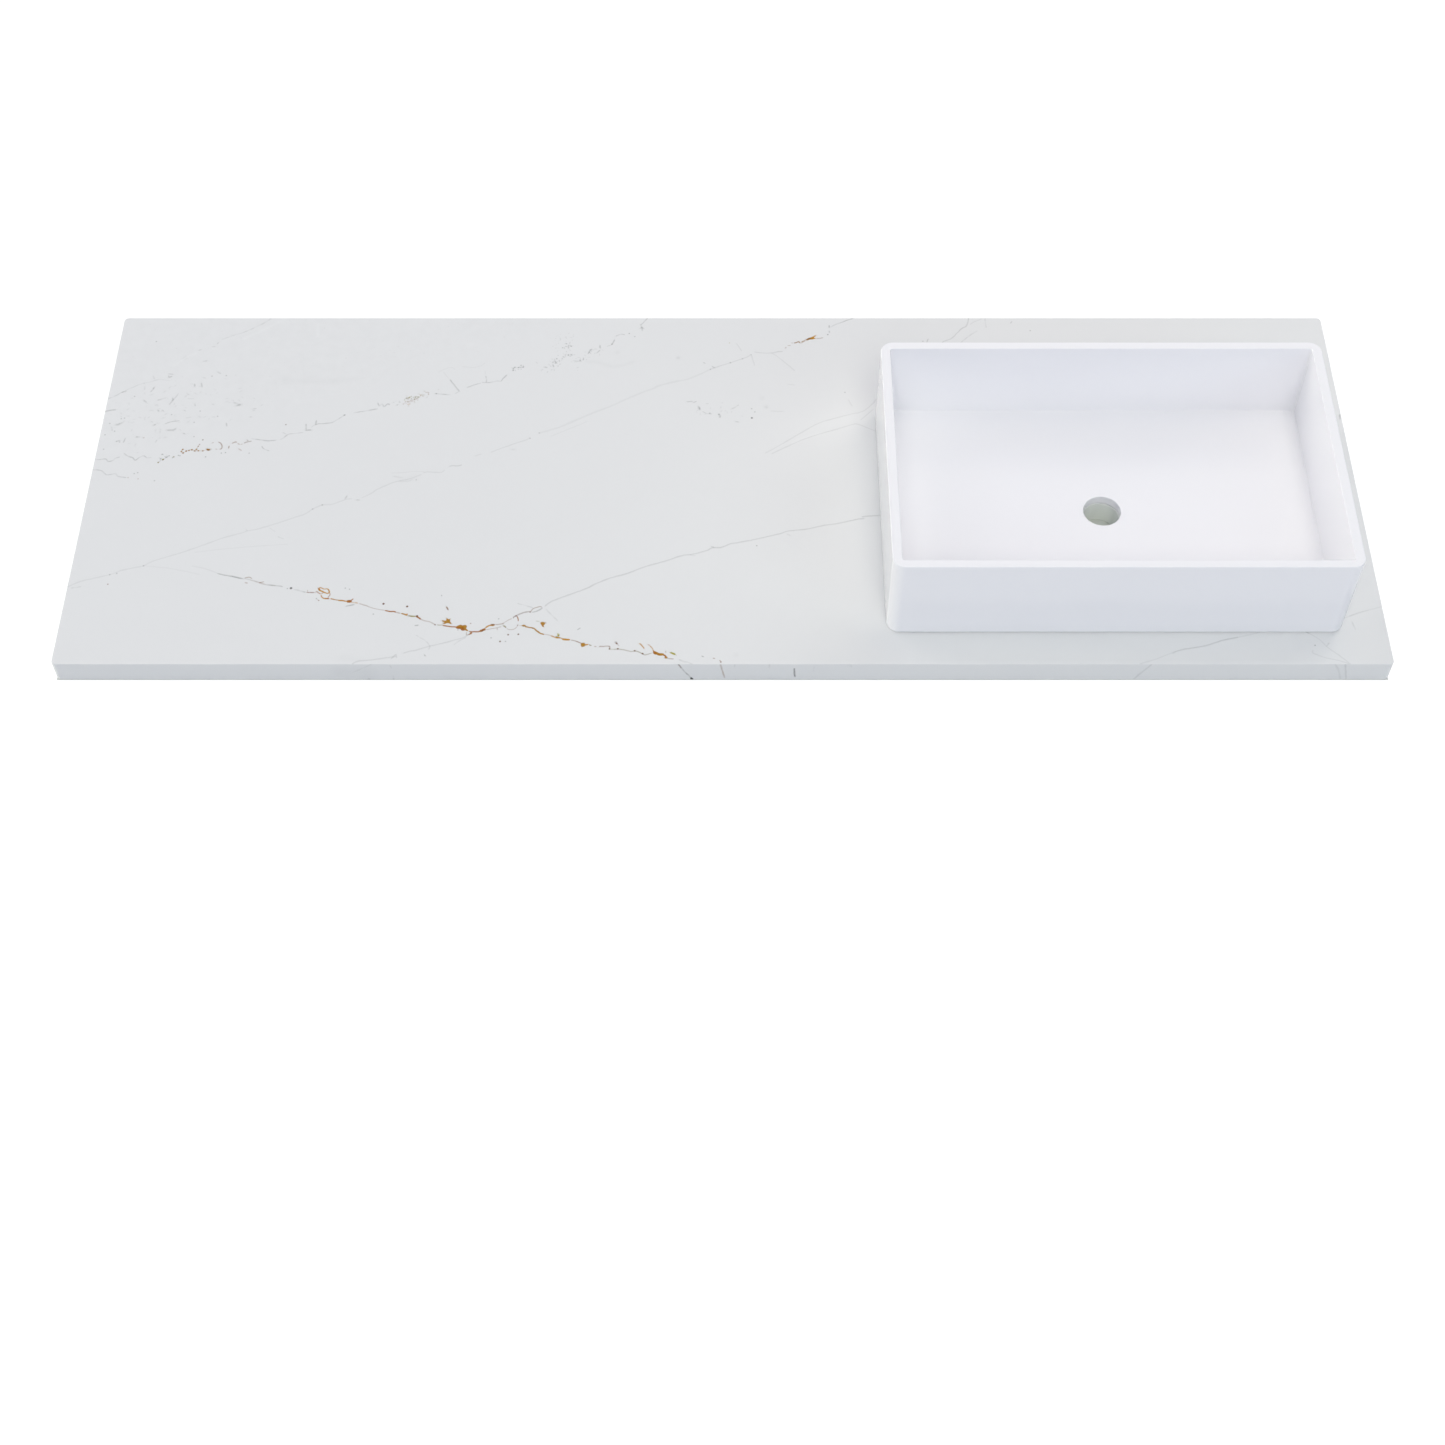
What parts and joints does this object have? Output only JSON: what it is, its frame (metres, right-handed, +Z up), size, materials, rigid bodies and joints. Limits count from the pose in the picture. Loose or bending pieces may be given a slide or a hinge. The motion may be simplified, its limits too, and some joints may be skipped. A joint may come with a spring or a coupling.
{
  "type": "vanity sink top",
  "caption": "White veined stone vanity top with a rectangular vessel basin bedded at its right end, drain hole through basin floor and slab.",
  "frame": {"origin": "middle of the slab's underside", "axes": "+X along the slab towards the basin's end (the right, seen from the front), +Y towards the wall, +Z up"},
  "size_m": [1.549, 0.559, 0.151],
  "materials": {
    "stone": "polished white stone with grey and rust-gold veins",
    "basin_white": "smooth gloss white, faintly cool",
    "silicone": "cured neutral silicone, satin"
  },
  "bodies": {
    "root": {"countertop_slab": "stone", "vessel_basin": "basin_white", "foot_silicone_bead": "silicone", "drain_silicone_bead": "silicone"}
  },
  "joints": []
}
